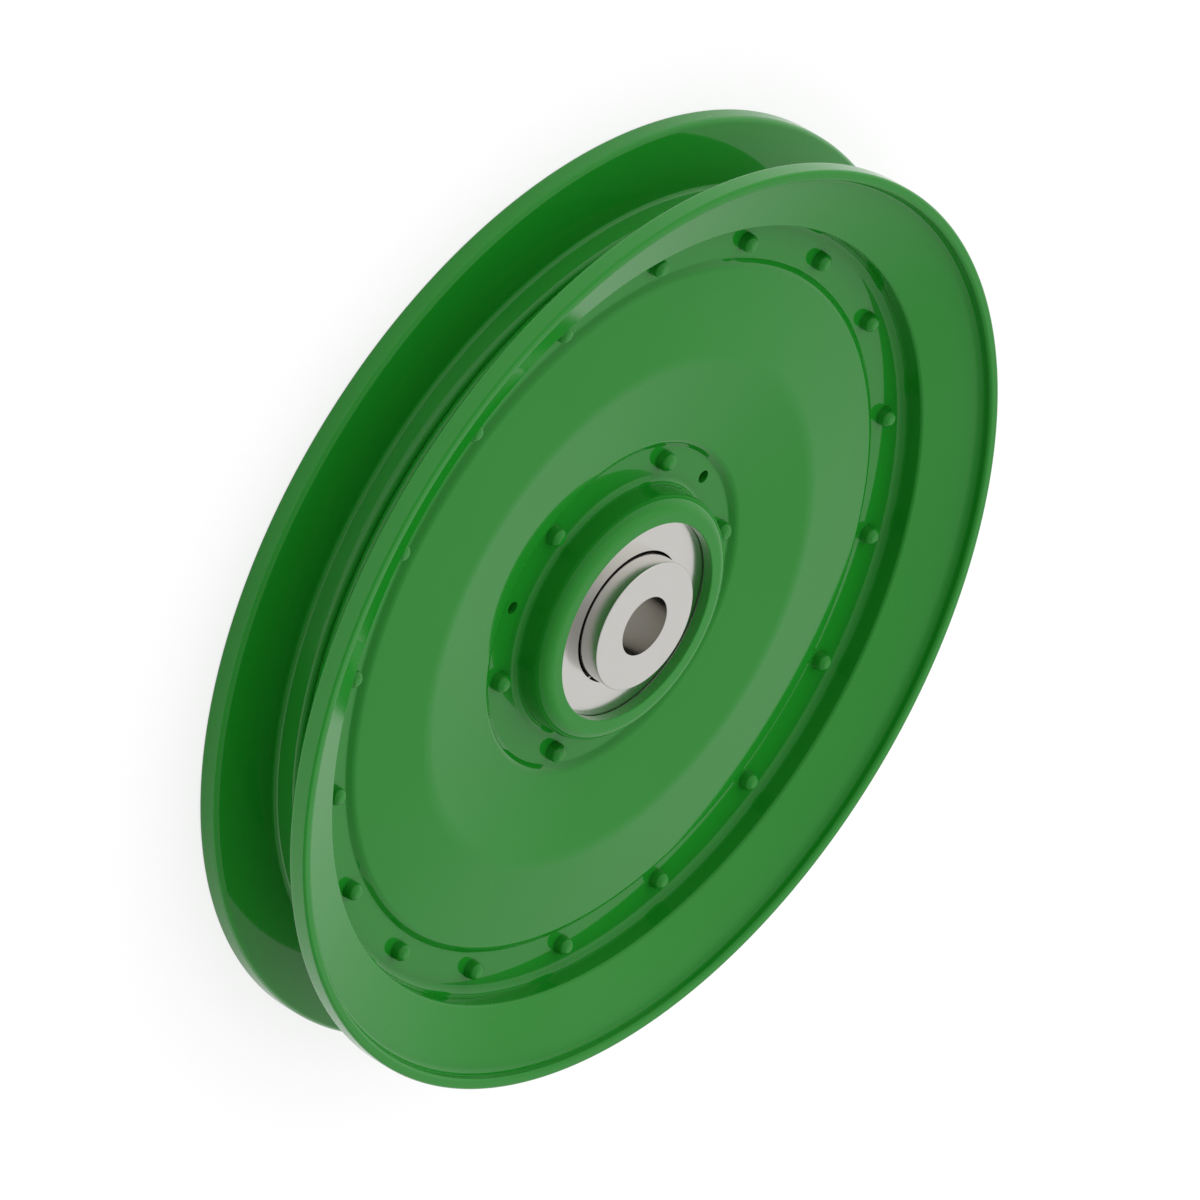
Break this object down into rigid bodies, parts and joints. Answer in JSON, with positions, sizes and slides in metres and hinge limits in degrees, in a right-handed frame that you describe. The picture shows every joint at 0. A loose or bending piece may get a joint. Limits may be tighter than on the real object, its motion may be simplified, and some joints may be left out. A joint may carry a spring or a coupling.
{
  "type": "idler pulley",
  "caption": "Riveted sheet-steel belt idler with a wide V groove, dished web and shielded ball bearing on a flanged bush.",
  "frame": {"origin": "on the axis of rotation, in the parting plane of the two halves, at the middle of the groove", "axes": "+Z along the axis towards the front half, whose face the picture shows; +Y through a point midway between two hub rivets"},
  "size_m": [0.254, 0.254, 0.0358],
  "materials": {
    "green_paint": "glossy enamel",
    "bearing_steel": "ground",
    "polished_balls": "polished",
    "pressed_steel": "pressed",
    "shield_steel": "satin",
    "turned_steel": "fine turned"
  },
  "bodies": {
    "spindle": {"front_bush": "turned_steel", "rear_bush": "turned_steel", "inner_ring": "bearing_steel"},
    "pulley": {"front_half": "green_paint", "rear_half": "green_paint", "band_rivets": "green_paint", "hub_rivets": "green_paint", "outer_ring": "bearing_steel", "front_shield": "shield_steel", "rear_shield": "shield_steel"},
    "cage": {"front_cage": "pressed_steel", "rear_cage": "pressed_steel", "cage_rivets": "pressed_steel", "ball_1": "polished_balls", "ball_2": "polished_balls", "ball_3": "polished_balls", "ball_4": "polished_balls", "ball_5": "polished_balls", "ball_6": "polished_balls", "ball_7": "polished_balls"}
  },
  "joints": [
    {"name": "pulley_spin", "type": "hinge", "parent": "spindle", "child": "pulley", "pos_m": [0, 0, 0], "axis": [0, 0, 1], "continuous": true},
    {"name": "cage_spin", "type": "hinge", "parent": "spindle", "child": "cage", "pos_m": [0, 0, 0], "axis": [0, 0, 1], "continuous": true}
  ],
  "couplings": [
    {"joint": "cage_spin", "follows": "pulley_spin", "ratio": 0.6292}
  ]
}
